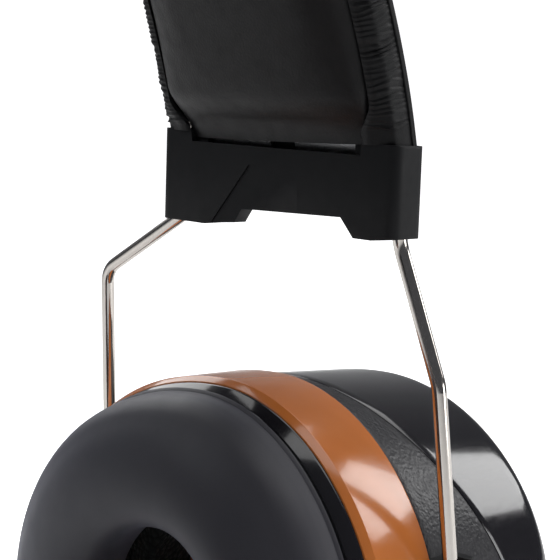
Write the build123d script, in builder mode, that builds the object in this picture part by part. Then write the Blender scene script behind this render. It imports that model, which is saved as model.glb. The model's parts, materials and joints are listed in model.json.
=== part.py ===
"""Hearing protection earmuffs: padded spring headband, sliding wire yokes and deep twin-shell cups.

Frame: +Z up, X across the head (+X is the wearer's left), -Y to the front.  The origin is the point
under the crown of the headband pad that rests on the head.  All lengths are in millimetres and all
angles in degrees.  The left side is modelled and the right side is its mirror image in X = 0.
"""
import os
from math import cos, degrees, radians, sin, tan

from build123d import *

# ---- overall layout -------------------------------------------------------------------------
LEG_X = 72.0              # plane of the cup pivots, from the middle of the head
LEG_LEAN = 2.6            # the wire legs lean inwards by this angle on their way up
PIVOT_DROP = 63.2         # from the underside of the end block down to the cup pivots
CUP_BELOW_PIVOT = 10.8    # the cup's centre hangs this far under its pivots
CUP_Y = 6.0               # the cups sit this far behind the middle of the headband
CUP_SKEW = 0.116          # share by which the oval is fuller towards the rear

# ---- headband arch: mid-line of the spring strips, from the crown down to the end block ------
LEAN_BLOCK = 15.0         # lean of the band from the vertical where it meets the block
LEAN_ARM = 26.0           # lean at the top of the long arm curve
LEAN_SHOULDER = 60.0      # lean at the top of the shoulder curve
ARM_R = 180.0
SHOULDER_R = 52.0
STRIP_INSET = 2.2         # strips enter the block this far inside its reference plane
SLEEVE_GAP = 1.2          # air between the end of the sleeve and the block

# ---- headband section, offsets measured outwards from the strips' mid-line -------------------
STRIP_T = 0.9
STRIP_W = 15.0
STRIP_GAP = 6.0           # between the front and the rear strip
STRIP_TAIL = 11.0         # length of strip held inside the end block
SLEEVE_W = 57.0
SLEEVE_T = 1.0
SLEEVE_OUT = 4.7          # outer face
SLEEVE_EDGE = 2.6         # the folded edges end here
SLEEVE_ROUND = 1.6
PAD_W = 48.6
PAD_BACK = 0.8            # back of the pad, towards the head
PAD_BACK_W = 41.8         # narrower behind, to clear the wires
PAD_SIDE = 2.9            # its long edges run from here
PAD_EDGE = 4.4            # to here
PAD_CROWN = 7.0           # middle of the pad
PAD_SHORT = 2.0           # the pad stops this far above the block
TRIM_T = 0.8
TRIM_SIDE = 2.6           # the gathered trim is upright down to here, then leans in
TRIM_IN = 4.9             # and reaches this far towards the head at the pad
TRIM_GAP = 0.3            # between trim and pad
TRIM_SEAM = 0.1           # between trim and sleeve

# ---- wires ------------------------------------------------------------------------------------
WIRE_R = 1.35
BORE_CLEAR = 0.05
WIRE_LEAN = 13.0          # lean of the sliding part, from the vertical
SLIDE = 20.0              # height adjustment
STOP_L = 2.4
STOP_R = 1.7
FRONT_BORE_Y = -25.9
REAR_BORE_Y = 23.5
MOUTH_OUT = 1.0           # bores open this far outside the block's reference plane
FRONT_BEND_Y, FRONT_BEND_UP = -35.6, 38.4     # lower bend, height above the pivots
REAR_BEND_Y, REAR_BEND_UP = 51.4, 50.6
FRONT_MOUTH_UP = -1.2     # the front wire turns just under the block
REAR_MOUTH_UP = 3.5       # the rear wire turns this far inside the block
MOUTH_CLEAR = 0.6         # room for the turning wire in its open mouth
MOUTH_SHIFT = 0.2         # outwards, the way the wire moves as it slides down
FRONT_BEND_R = (8.0, 8.0) # under the block, and at the lower bend
REAR_BEND_R = (3.5, 5.0)
PIVOT_REACH = 45.5        # leg to cup centre, along Y
PIN_L = 4.6               # straight pivot pin inside the fastener
TILT = 12.0               # cup tilt each way

# ---- end block --------------------------------------------------------------------------------
BLOCK_W = 58.6
BLOCK_H = 18.2
BLOCK_IN = 5.05           # inner face, inside the reference plane
BLOCK_OUT = 3.2           # outer face, outside the reference plane
BLOCK_ROUND = 2.4
EAR_W = 8.4               # raised ears each side of the pad recess
EAR_H = 2.2
NOTCH_FRONT_Y, NOTCH_REAR_Y, NOTCH_H = -17.0, 7.4, 3.4
NOTCH_SLOPE = 2.4
POCKET_CLEAR = 0.3
PIN_R = 1.3
PIN_DROP = 5.5            # strip pins under the block's top
PIN_WALL = 1.4            # left under the blind end of a pin's hole
PIN_SUNK = 0.3            # pin heads sit this far under the block's face

# ---- cup, X measured outwards from the pivot plane --------------------------------------------
RING_A, RING_B = 44.9, 46.1     # half width (Y) and half height (Z) of the coloured ring
RING_FRONT, RING_REAR = -18.7, -2.35
RING_T = 3.0
RING_BEVEL = 1.6
WEB_T = 2.25
BOWL_A, BOWL_B = 35.5, 39.5
BOWL_END_A, BOWL_END_B = 30.0, 34.0
BOWL_END = 15.5
BOWL_T = 2.0
BOWL_ROUND = 6.0
GASKET_T = 0.85
GASKET_INSET = 1.3
HOUSING_INSET = 0.6       # housing starts this far inside the ring's outline
HOUSING_END = 34.5
HOUSING_END_A, HOUSING_END_B = 45.4, 42.2
HOUSING_T = 2.4
HOUSING_ROUND = 5.0
CAP_EDGE, CAP_EDGE_R, CAP_EDGE_Z = 28.6, 150.0, -40.0   # seam: a large arc about a Y axis
PLATE_T = 2.55
PLATE_INSET = 0.5
PLATE_BEVEL = 1.8
PLATE_HOLE_A, PLATE_HOLE_B = 24.0, 28.5
SKIN_PLATE_T = 1.1
SKIN_PLATE_A, SKIN_PLATE_B = 42.9, 44.4
SKIN_HOLE_A, SKIN_HOLE_B = 22.0, 26.5
CUSHION_T = 14.2
CUSHION_A, CUSHION_B = 42.2, 43.9
CUSHION_HOLE_A, CUSHION_HOLE_B = 19.6, 23.3
CUSHION_ROUND = 6.0
LINER_GAP = 0.4
LINER_HOLE_A, LINER_HOLE_B = 20.5, 25.0
LINER_FRONT, LINER_END = -12.0, 9.1

# ---- fasteners --------------------------------------------------------------------------------
FAST_TOP, FAST_BOTTOM = 7.2, -8.0
FAST_CHEEK_X = 4.6
FAST_BASE_X0, FAST_BASE_X1 = -2.2, 5.4
FAST_BASE_IN, FAST_BASE_OUT = 38.0, 43.2      # from the cup's centre, along Y
FAST_OUT = 48.0
FAST_CLEAR = 0.15
FAST_ROUND = 1.6
FAST_SHELL_GAP = 0.4      # between a fastener's base and the window it sits in

# ---- worked out from the above ----------------------------------------------------------------
CROWN_Z = PAD_CROWN
BLOCK_X = LEG_X - PIVOT_DROP * tan(radians(LEG_LEAN))     # reference plane of the end block
CUP_MID = CUP_Y - CUP_SKEW * RING_A                       # Y of the oval's highest point
ARM_RUN = ARM_R * (cos(radians(LEAN_BLOCK)) - cos(radians(LEAN_ARM)))
ARM_FALL = ARM_R * (sin(radians(LEAN_ARM)) - sin(radians(LEAN_BLOCK)))
SHOULDER_RUN = SHOULDER_R * (cos(radians(LEAN_ARM)) - cos(radians(LEAN_SHOULDER)))
SHOULDER_FALL = SHOULDER_R * (sin(radians(LEAN_SHOULDER)) - sin(radians(LEAN_ARM)))
CROWN_R = (BLOCK_X - STRIP_INSET - ARM_RUN - SHOULDER_RUN) / cos(radians(LEAN_SHOULDER))
CROWN_FALL = CROWN_R * (1 - sin(radians(LEAN_SHOULDER)))
BLOCK_TOP = CROWN_Z - CROWN_FALL - SHOULDER_FALL - ARM_FALL
BLOCK_BOTTOM = BLOCK_TOP - BLOCK_H
PIVOT_Z = BLOCK_BOTTOM - PIVOT_DROP
CUP_Z = PIVOT_Z - CUP_BELOW_PIVOT
SKIN_FRONT = RING_FRONT - PLATE_T - SKIN_PLATE_T

os.makedirs("parts", exist_ok=True)


def save(part, name):
    """Write one piece under its name."""
    part.label = name
    export_step(part, f"parts/{name}.step")


def save_pair(part, name):
    """Write a left piece and its mirror image on the right."""
    save(part, f"left_{name}")
    with BuildPart() as twin:
        mirror(part, about=Plane.YZ)
    save(twin.part, f"right_{name}")


def cup_plane(x):
    """Plane across the left cup, x outwards from the pivots; local x is Y and local y is Z."""
    return Plane(origin=(LEG_X + x, CUP_MID, CUP_Z), x_dir=(0, 1, 0), z_dir=(1, 0, 0))


def oval(x, a, b):
    """Oval outline in the cup plane at x: two half ellipses, the rear one longer."""
    with BuildSketch(cup_plane(x)) as outline:
        with BuildLine():
            EllipticalCenterArc((0, 0), a * (1 - CUP_SKEW), b, start_angle=90, arc_size=180)
            EllipticalCenterArc((0, 0), a * (1 + CUP_SKEW), b, start_angle=-90, arc_size=180)
        make_face()
    return outline.sketch


def band_path(tail):
    """Half of the arch's mid-line, from the crown to the left block and tail beyond its top."""
    with BuildLine(Plane.XZ) as path:
        crown = JernArc((0, CROWN_Z), (1, 0), CROWN_R, LEAN_SHOULDER - 90)
        shoulder = JernArc(crown @ 1, crown % 1, SHOULDER_R, LEAN_ARM - LEAN_SHOULDER)
        if tail > 0:
            arm = JernArc(shoulder @ 1, shoulder % 1, ARM_R, LEAN_BLOCK - LEAN_ARM)
            Line(arm @ 1, arm @ 1 + (arm % 1) * tail)
        else:
            cut = degrees(-tail / ARM_R)
            JernArc(shoulder @ 1, shoulder % 1, ARM_R, LEAN_BLOCK - LEAN_ARM + cut)
    return path.wires()[0]


# ---- headband ---------------------------------------------------------------------------------
sleeve_path = band_path(-SLEEVE_GAP)

with BuildPart() as headband_sleeve:
    with BuildSketch(Plane.YZ):
        with Locations((0, CROWN_Z)):
            RectangleRounded(SLEEVE_W, 2 * SLEEVE_OUT, SLEEVE_ROUND)
            Rectangle(SLEEVE_W - 2 * SLEEVE_T, 2 * (SLEEVE_OUT - SLEEVE_T), mode=Mode.SUBTRACT)
        with Locations((0, CROWN_Z + SLEEVE_EDGE - SLEEVE_OUT)):
            Rectangle(SLEEVE_W, 2 * SLEEVE_OUT, mode=Mode.SUBTRACT)
    sweep(path=sleeve_path)
    mirror(about=Plane.YZ)
save(headband_sleeve.part, "headband_sleeve")

with BuildPart() as headband_pad:
    with BuildSketch(Plane.YZ):
        with BuildLine():
            edge = Polyline(
                (-PAD_W / 2, CROWN_Z - PAD_EDGE),
                (-PAD_W / 2, CROWN_Z - PAD_SIDE),
                (-PAD_BACK_W / 2, CROWN_Z - PAD_BACK),
                (PAD_BACK_W / 2, CROWN_Z - PAD_BACK),
                (PAD_W / 2, CROWN_Z - PAD_SIDE),
                (PAD_W / 2, CROWN_Z - PAD_EDGE),
            )
            ThreePointArc(edge @ 1, (0, CROWN_Z - PAD_CROWN), edge @ 0)
        make_face()
    sweep(path=band_path(-SLEEVE_GAP - PAD_SHORT))
    mirror(about=Plane.YZ)
save(headband_pad.part, "headband_pad")


def trim(side):
    """Gathered gusset between the pad and the sleeve, along one edge of the band."""
    with BuildPart() as gusset:
        with BuildSketch(Plane.YZ):
            outer, inner = SLEEVE_W / 2, PAD_W / 2 + TRIM_GAP
            top, side_end = CROWN_Z + SLEEVE_EDGE - TRIM_SEAM, CROWN_Z - TRIM_SIDE
            low = CROWN_Z - TRIM_IN
            with BuildLine():
                Polyline(
                    (side * outer, top),
                    (side * outer, side_end),
                    (side * inner, low),
                    (side * inner, low + 1.5 * TRIM_T),
                    (side * (outer - TRIM_T), side_end + TRIM_T / 2),
                    (side * (outer - TRIM_T), top),
                    close=True,
                )
            make_face()
        sweep(path=sleeve_path)
        mirror(about=Plane.YZ)
    return gusset.part


save(trim(-1), "front_trim")
save(trim(1), "rear_trim")


def strip(side):
    """Flat spring strip along the whole arch, held at both ends in the blocks."""
    with BuildPart() as spring:
        with BuildSketch(Plane.YZ):
            with Locations((side * (STRIP_GAP + STRIP_W) / 2, CROWN_Z)):
                Rectangle(STRIP_W, STRIP_T)
        sweep(path=band_path(STRIP_TAIL))
        mirror(about=Plane.YZ)
        hole_y = side * (STRIP_GAP + STRIP_W) / 2
        with BuildSketch(Plane(origin=(0, hole_y, BLOCK_TOP - PIN_DROP), z_dir=(1, 0, 0))):
            Circle(PIN_R + POCKET_CLEAR)
        extrude(amount=BLOCK_X + BLOCK_OUT, both=True, mode=Mode.SUBTRACT)
    return spring.part


save(strip(-1), "front_spring_strip")
save(strip(1), "rear_spring_strip")

# ---- end block --------------------------------------------------------------------------------
BORE_AXIS = Vector(-sin(radians(WIRE_LEAN)), 0, cos(radians(WIRE_LEAN)))


def bore_point(y, up):
    """Point on a wire's sliding axis, up above the block's underside."""
    return Vector(BLOCK_X + MOUTH_OUT - up * tan(radians(WIRE_LEAN)), y, BLOCK_BOTTOM + up)


with BuildPart() as end_block:
    block_mid_x = BLOCK_X + (BLOCK_OUT - BLOCK_IN) / 2
    with BuildSketch(Plane.XY.offset(BLOCK_BOTTOM)):
        with Locations((block_mid_x, 0)):
            RectangleRounded(BLOCK_IN + BLOCK_OUT, BLOCK_W, BLOCK_ROUND)
    extrude(amount=BLOCK_H)
    # underside notch between the two wire mouths
    with BuildSketch(Plane.YZ.offset(BLOCK_X - BLOCK_IN)):
        with BuildLine():
            Polyline(
                (NOTCH_FRONT_Y - NOTCH_SLOPE, BLOCK_BOTTOM),
                (NOTCH_FRONT_Y, BLOCK_BOTTOM + NOTCH_H),
                (NOTCH_REAR_Y, BLOCK_BOTTOM + NOTCH_H),
                (NOTCH_REAR_Y + NOTCH_SLOPE, BLOCK_BOTTOM),
                close=True,
            )
        make_face()
    extrude(amount=BLOCK_IN + BLOCK_OUT, mode=Mode.SUBTRACT)
    # recess behind the inner wall's top edge, where the pad tucks in
    recess_w = BLOCK_W - 2 * EAR_W
    with BuildSketch(Plane.XY.offset(BLOCK_TOP - EAR_H)):
        with Locations((BLOCK_X - BLOCK_IN, 0)):
            Rectangle(2 * (BLOCK_IN - STRIP_INSET - STRIP_T), recess_w)
    extrude(amount=EAR_H, mode=Mode.SUBTRACT)
    # leaning slot for the spring strips
    slot_plane = Plane(
        origin=(BLOCK_X - STRIP_INSET, 0, BLOCK_TOP),
        x_dir=(0, 1, 0),
        z_dir=(-sin(radians(LEAN_BLOCK)), 0, cos(radians(LEAN_BLOCK))),
    )
    with BuildSketch(slot_plane.offset(-STRIP_TAIL - POCKET_CLEAR)):
        Rectangle(STRIP_GAP + 2 * STRIP_W + 2 * POCKET_CLEAR, STRIP_T + 2 * POCKET_CLEAR)
    extrude(amount=STRIP_TAIL + BLOCK_H / 4, mode=Mode.SUBTRACT)
    # wire bores
    for bore_y in (FRONT_BORE_Y, REAR_BORE_Y):
        with BuildSketch(Plane(origin=bore_point(bore_y, 0), z_dir=BORE_AXIS)):
            Circle(WIRE_R + BORE_CLEAR)
        extrude(amount=BLOCK_H * 1.5, both=True, mode=Mode.SUBTRACT)
    # open mouth in which the rear wire turns outwards
    mouth_w = 2 * (WIRE_R + MOUTH_CLEAR)
    mouth_x = bore_point(REAR_BORE_Y, REAR_MOUTH_UP).X + MOUTH_SHIFT
    with BuildSketch(Plane.XY.offset(BLOCK_BOTTOM)):
        with Locations((mouth_x, REAR_BORE_Y + (BLOCK_W - mouth_w) / 2)):
            Rectangle(mouth_w, BLOCK_W)
    extrude(amount=REAR_MOUTH_UP + 2 * WIRE_R, mode=Mode.SUBTRACT)
    # blind holes for the strip pins, from the outer face
    with BuildSketch(Plane(origin=(BLOCK_X + BLOCK_OUT, 0, BLOCK_TOP - PIN_DROP), z_dir=(-1, 0, 0))):
        with GridLocations(0, STRIP_GAP + STRIP_W, 1, 2):
            Circle(PIN_R)
    extrude(amount=BLOCK_IN + BLOCK_OUT - PIN_WALL, mode=Mode.SUBTRACT)
save_pair(end_block.part, "end_block")

with BuildPart() as strip_pins:
    pin_x = BLOCK_X + BLOCK_OUT - PIN_SUNK
    with BuildSketch(Plane(origin=(pin_x, 0, BLOCK_TOP - PIN_DROP), z_dir=(-1, 0, 0))):
        with GridLocations(0, STRIP_GAP + STRIP_W, 1, 2):
            Circle(PIN_R)
    extrude(amount=BLOCK_IN + BLOCK_OUT - PIN_WALL - PIN_SUNK)
save_pair(strip_pins.part, "strip_pins")

# ---- wires ------------------------------------------------------------------------------------


def yoke_wire(points, radii):
    """Round wire along straight runs joined by bends."""
    with BuildPart() as wire:
        with BuildLine() as route:
            FilletPolyline(*points, radius=radii)
        with BuildSketch(Plane(origin=route.line @ 0, z_dir=route.line % 0)):
            Circle(WIRE_R)
        sweep(path=route.wires()[0])
    return wire.part


def leg_points(side, bore_y, mouth_up, bend_y, bend_up):
    """Corner points of a wire, from its top end to the tip of its pivot pin."""
    leg_y = CUP_Y + side * PIVOT_REACH
    bend_x = LEG_X - bend_up * tan(radians(LEG_LEAN))
    return [
        bore_point(bore_y, BLOCK_H + SLIDE + STOP_L),
        bore_point(bore_y, mouth_up),
        Vector(bend_x, bend_y, PIVOT_Z + bend_up),
        Vector(LEG_X, leg_y, PIVOT_Z),
        Vector(LEG_X, CUP_Y + side * (FAST_BASE_OUT - PIN_L), PIVOT_Z),
    ]


PIN_BEND = PIVOT_REACH - FAST_BASE_OUT
front_leg = leg_points(-1, FRONT_BORE_Y, FRONT_MOUTH_UP, FRONT_BEND_Y, FRONT_BEND_UP)
rear_leg = leg_points(1, REAR_BORE_Y, REAR_MOUTH_UP, REAR_BEND_Y, REAR_BEND_UP)
save_pair(yoke_wire(front_leg, [*FRONT_BEND_R, PIN_BEND]), "front_wire")
save_pair(yoke_wire(rear_leg, [*REAR_BEND_R, PIN_BEND]), "rear_wire")

with BuildPart() as wire_stops:
    for stop_y in (FRONT_BORE_Y, REAR_BORE_Y):
        with BuildSketch(Plane(origin=bore_point(stop_y, BLOCK_H + SLIDE), z_dir=BORE_AXIS)):
            Circle(STOP_R)
            Circle(WIRE_R, mode=Mode.SUBTRACT)
        extrude(amount=STOP_L)
save_pair(wire_stops.part, "wire_stops")

# ---- fasteners --------------------------------------------------------------------------------


def fastener(side):
    """Two-point fastener: a base let into the housing, and a fork that lets the leg tilt."""
    base_l = FAST_BASE_OUT - FAST_BASE_IN
    neck = RING_A + 3 * FAST_CLEAR - FAST_BASE_IN
    tall = FAST_TOP - FAST_BOTTOM
    mid_z = (FAST_TOP + FAST_BOTTOM) / 2
    base = Plane(
        origin=(LEG_X, CUP_Y + side * FAST_BASE_IN, PIVOT_Z),
        x_dir=(1, 0, 0),
        z_dir=(0, side, 0),
    )
    up = -side          # local y of the base plane runs along -Z on the rear side
    with BuildPart() as clip:
        with BuildSketch(base):
            with Locations(((FAST_BASE_X0 + FAST_BASE_X1) / 2, up * mid_z)):
                Rectangle(FAST_BASE_X1 - FAST_BASE_X0, tall)
        extrude(amount=neck)
        with BuildSketch(base.offset(neck)):
            with Locations((0, up * mid_z)):
                RectangleRounded(2 * FAST_CHEEK_X, tall, FAST_ROUND)
        extrude(amount=FAST_OUT - FAST_BASE_IN - neck)
        # fork slot
        low = WIRE_R + FAST_CLEAR
        swing = radians(TILT + LEG_LEAN)
        wide = low / cos(swing) + FAST_TOP * tan(swing)
        with BuildSketch(base.offset(base_l)):
            with BuildLine():
                Polyline(
                    (-low, -up * (low + FAST_CLEAR)),
                    (-low - FAST_CLEAR, 0),
                    (-wide, up * FAST_TOP),
                    (wide, up * FAST_TOP),
                    (low + FAST_CLEAR, 0),
                    (low, -up * (low + FAST_CLEAR)),
                    close=True,
                )
            make_face()
        extrude(amount=FAST_OUT, mode=Mode.SUBTRACT)
        # pivot hole
        with BuildSketch(base.offset(base_l)):
            Circle(WIRE_R + BORE_CLEAR)
        extrude(amount=-(PIN_L + POCKET_CLEAR), mode=Mode.SUBTRACT)
    return clip.part


save_pair(fastener(-1), "front_fastener")
save_pair(fastener(1), "rear_fastener")


def fastener_windows():
    """Cuts both fasteners' places out of the part being built."""
    tall = FAST_TOP - FAST_BOTTOM + 2 * FAST_CLEAR
    wide = FAST_BASE_X1 - FAST_BASE_X0 + 2 * FAST_CLEAR
    middle = (LEG_X + (FAST_BASE_X0 + FAST_BASE_X1) / 2, PIVOT_Z + (FAST_TOP + FAST_BOTTOM) / 2)
    for side in (-1, 1):
        depth = FAST_OUT - FAST_BASE_IN + 1
        with Locations((middle[0], CUP_Y + side * (FAST_BASE_IN - FAST_SHELL_GAP + depth / 2), middle[1])):
            Box(wide, depth, tall, mode=Mode.SUBTRACT)


# ---- cup --------------------------------------------------------------------------------------


def dome(near, far, end_round):
    """Solid tapering between two oval outlines, rounded round its far end."""
    with BuildPart() as body:
        loft([near, far])
        fillet(body.faces().sort_by(Axis.X)[-1].edges(), end_round)
    return body.part


bowl = dome(
    oval(RING_FRONT + WEB_T / 2, BOWL_A, BOWL_B),
    oval(BOWL_END, BOWL_END_A, BOWL_END_B),
    BOWL_ROUND,
)
hollow = dome(
    oval(RING_FRONT, BOWL_A - BOWL_T, BOWL_B - BOWL_T),
    oval(BOWL_END - BOWL_T, BOWL_END_A - BOWL_T, BOWL_END_B - BOWL_T),
    BOWL_ROUND - BOWL_T,
)
with BuildPart() as inner_shell:
    extrude(oval(RING_FRONT, RING_A, RING_B), amount=RING_REAR - RING_FRONT)
    rim = inner_shell.faces().sort_by(Axis.X)[0].edges()
    chamfer(rim, RING_BEVEL)
    extrude(
        oval(RING_FRONT + WEB_T, RING_A - RING_T, RING_B - RING_T),
        amount=RING_REAR - RING_FRONT,
        mode=Mode.SUBTRACT,
    )
    add(bowl)
    add(hollow, mode=Mode.SUBTRACT)
save_pair(inner_shell.part, "inner_shell")

with BuildPart() as gasket:
    extrude(oval(RING_REAR, RING_A - GASKET_INSET, RING_B - GASKET_INSET), amount=GASKET_T)
    extrude(
        oval(RING_REAR, RING_A - RING_T, RING_B - RING_T),
        amount=GASKET_T,
        mode=Mode.SUBTRACT,
    )
    fastener_windows()
save_pair(gasket.part, "shell_gasket")

HOUSING_FRONT = RING_REAR + GASKET_T
shell_skin = dome(
    oval(HOUSING_FRONT, RING_A - HOUSING_INSET, RING_B - HOUSING_INSET),
    oval(HOUSING_END, HOUSING_END_A, HOUSING_END_B),
    HOUSING_ROUND,
)
shell_space = dome(
    oval(HOUSING_FRONT, RING_A - HOUSING_INSET - HOUSING_T, RING_B - HOUSING_INSET - HOUSING_T),
    oval(HOUSING_END - HOUSING_T, HOUSING_END_A - HOUSING_T, HOUSING_END_B - HOUSING_T),
    HOUSING_ROUND - HOUSING_T,
)
with BuildPart() as outer_shell:
    add(shell_skin)
    add(shell_space, mode=Mode.SUBTRACT)

# the seam between textured housing and glossy cap is part of a cylinder about a Y axis
with BuildPart() as seam_roller:
    seam_x = LEG_X + CAP_EDGE - CAP_EDGE_R
    with BuildSketch(Plane(origin=(seam_x, 0, CUP_Z + CAP_EDGE_Z), z_dir=(0, 1, 0))):
        Circle(CAP_EDGE_R)
    extrude(amount=3 * RING_A, both=True)

with BuildPart() as housing:
    add(outer_shell.part)
    add(seam_roller.part, mode=Mode.INTERSECT)
    fastener_windows()
save_pair(housing.part, "outer_housing")

with BuildPart() as cap:
    add(outer_shell.part)
    add(seam_roller.part, mode=Mode.SUBTRACT)
save_pair(cap.part, "outer_cap")

with BuildPart() as mounting_plate:
    extrude(oval(RING_FRONT, RING_A - PLATE_INSET, RING_B - PLATE_INSET), amount=-PLATE_T)
    chamfer(mounting_plate.faces().sort_by(Axis.X)[0].edges(), PLATE_BEVEL)
    extrude(oval(RING_FRONT, PLATE_HOLE_A, PLATE_HOLE_B), amount=-PLATE_T, mode=Mode.SUBTRACT)
save_pair(mounting_plate.part, "mounting_plate")

with BuildPart() as cushion_plate:
    extrude(oval(SKIN_FRONT, SKIN_PLATE_A, SKIN_PLATE_B), amount=SKIN_PLATE_T)
    extrude(oval(SKIN_FRONT, SKIN_HOLE_A, SKIN_HOLE_B), amount=SKIN_PLATE_T, mode=Mode.SUBTRACT)
save_pair(cushion_plate.part, "cushion_plate")

with BuildPart() as cushion:
    extrude(oval(SKIN_FRONT, CUSHION_A, CUSHION_B), amount=-CUSHION_T)
    extrude(oval(SKIN_FRONT, CUSHION_HOLE_A, CUSHION_HOLE_B), amount=-CUSHION_T, mode=Mode.SUBTRACT)
    fillet(cushion.faces().filter_by(Axis.X).edges(), CUSHION_ROUND)
save_pair(cushion.part, "cushion")


def liner_edge(x):
    """Outline of the foam at x, a gap inside the tapering bowl."""
    left = (BOWL_END - BOWL_T - x) / (BOWL_END - BOWL_T - RING_FRONT)
    inset = left * (BOWL_A - BOWL_END_A) - BOWL_T - LINER_GAP
    return oval(x, BOWL_END_A + inset, BOWL_END_B + inset)


with BuildPart() as foam_liner:
    loft([liner_edge(LINER_FRONT), liner_edge(LINER_END)])
    extrude(
        oval(LINER_FRONT, LINER_HOLE_A, LINER_HOLE_B),
        amount=LINER_END - LINER_FRONT,
        mode=Mode.SUBTRACT,
    )
save_pair(foam_liner.part, "foam_liner")

print("block top", round(BLOCK_TOP, 3), "pivot", round(PIVOT_Z, 3), "cup", round(CUP_Z, 3))
print("cushion face x", round(LEG_X + SKIN_FRONT - CUSHION_T, 3), "crown radius", round(CROWN_R, 3))
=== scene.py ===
"""Hearing protection earmuffs: the looks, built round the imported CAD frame.

Lengths in the tables below are in millimetres, in the frame of the CAD: +Z up, +X the wearer's
left, -Y to the front, origin under the crown of the headband.  The left side is modelled and the
right side is its mirror image.
"""

import json
from math import cos, hypot, pi, radians, sin, tan

import bmesh
import bpy
from mathutils import Matrix, Vector, noise


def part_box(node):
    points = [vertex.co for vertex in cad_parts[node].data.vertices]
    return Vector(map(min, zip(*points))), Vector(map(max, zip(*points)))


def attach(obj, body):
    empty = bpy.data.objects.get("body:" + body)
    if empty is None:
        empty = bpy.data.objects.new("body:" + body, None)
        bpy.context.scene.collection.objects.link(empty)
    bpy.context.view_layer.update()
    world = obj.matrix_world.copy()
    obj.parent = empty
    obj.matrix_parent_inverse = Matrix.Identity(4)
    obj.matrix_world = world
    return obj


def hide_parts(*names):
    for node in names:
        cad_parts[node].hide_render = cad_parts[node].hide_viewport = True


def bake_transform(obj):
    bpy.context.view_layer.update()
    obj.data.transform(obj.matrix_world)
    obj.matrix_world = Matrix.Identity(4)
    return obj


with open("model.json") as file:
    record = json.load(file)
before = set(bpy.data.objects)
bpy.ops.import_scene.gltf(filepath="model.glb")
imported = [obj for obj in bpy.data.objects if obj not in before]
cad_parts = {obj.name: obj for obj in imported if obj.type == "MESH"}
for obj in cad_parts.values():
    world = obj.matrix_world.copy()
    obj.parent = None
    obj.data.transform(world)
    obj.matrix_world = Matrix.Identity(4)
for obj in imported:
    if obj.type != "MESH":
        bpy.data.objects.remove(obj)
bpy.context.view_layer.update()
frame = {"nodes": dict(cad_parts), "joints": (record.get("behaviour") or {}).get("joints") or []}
MM = 0.001
SIDES = ("left", "right")


def node_box(node):
    """Lowest and highest corner of a CAD node, in millimetres."""
    low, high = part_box(node)
    return low / MM, high / MM


# ---- places read from the frame ---------------------------------------------------------------
block_low, block_high = node_box("left_end_block")
cushion_low, cushion_high = node_box("left_cushion")
pivot = Vector(next(j["pos_m"] for j in frame["joints"] if j["name"] == "left_cup_tilt")) / MM
LEG_X = pivot.x
CUP_Y = pivot.y
CUP_Z = (cushion_low.z + cushion_high.z) / 2
BLOCK_TOP, BLOCK_BOTTOM = block_high.z, block_low.z
BLOCK_SKIN = 5.05                     # from the block's inner face out to its reference plane
BLOCK_X = block_low.x + BLOCK_SKIN
BLOCK_HALF = block_high.y
TOP_FALL = 1.6                        # the block's top edge slopes down this much to the front


def top_at(y):
    """Height of the block's top edge at y."""
    return BLOCK_TOP - TOP_FALL * (BLOCK_HALF - y) / (2 * BLOCK_HALF)


# ================================================================================================
# Materials
# ================================================================================================


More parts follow.
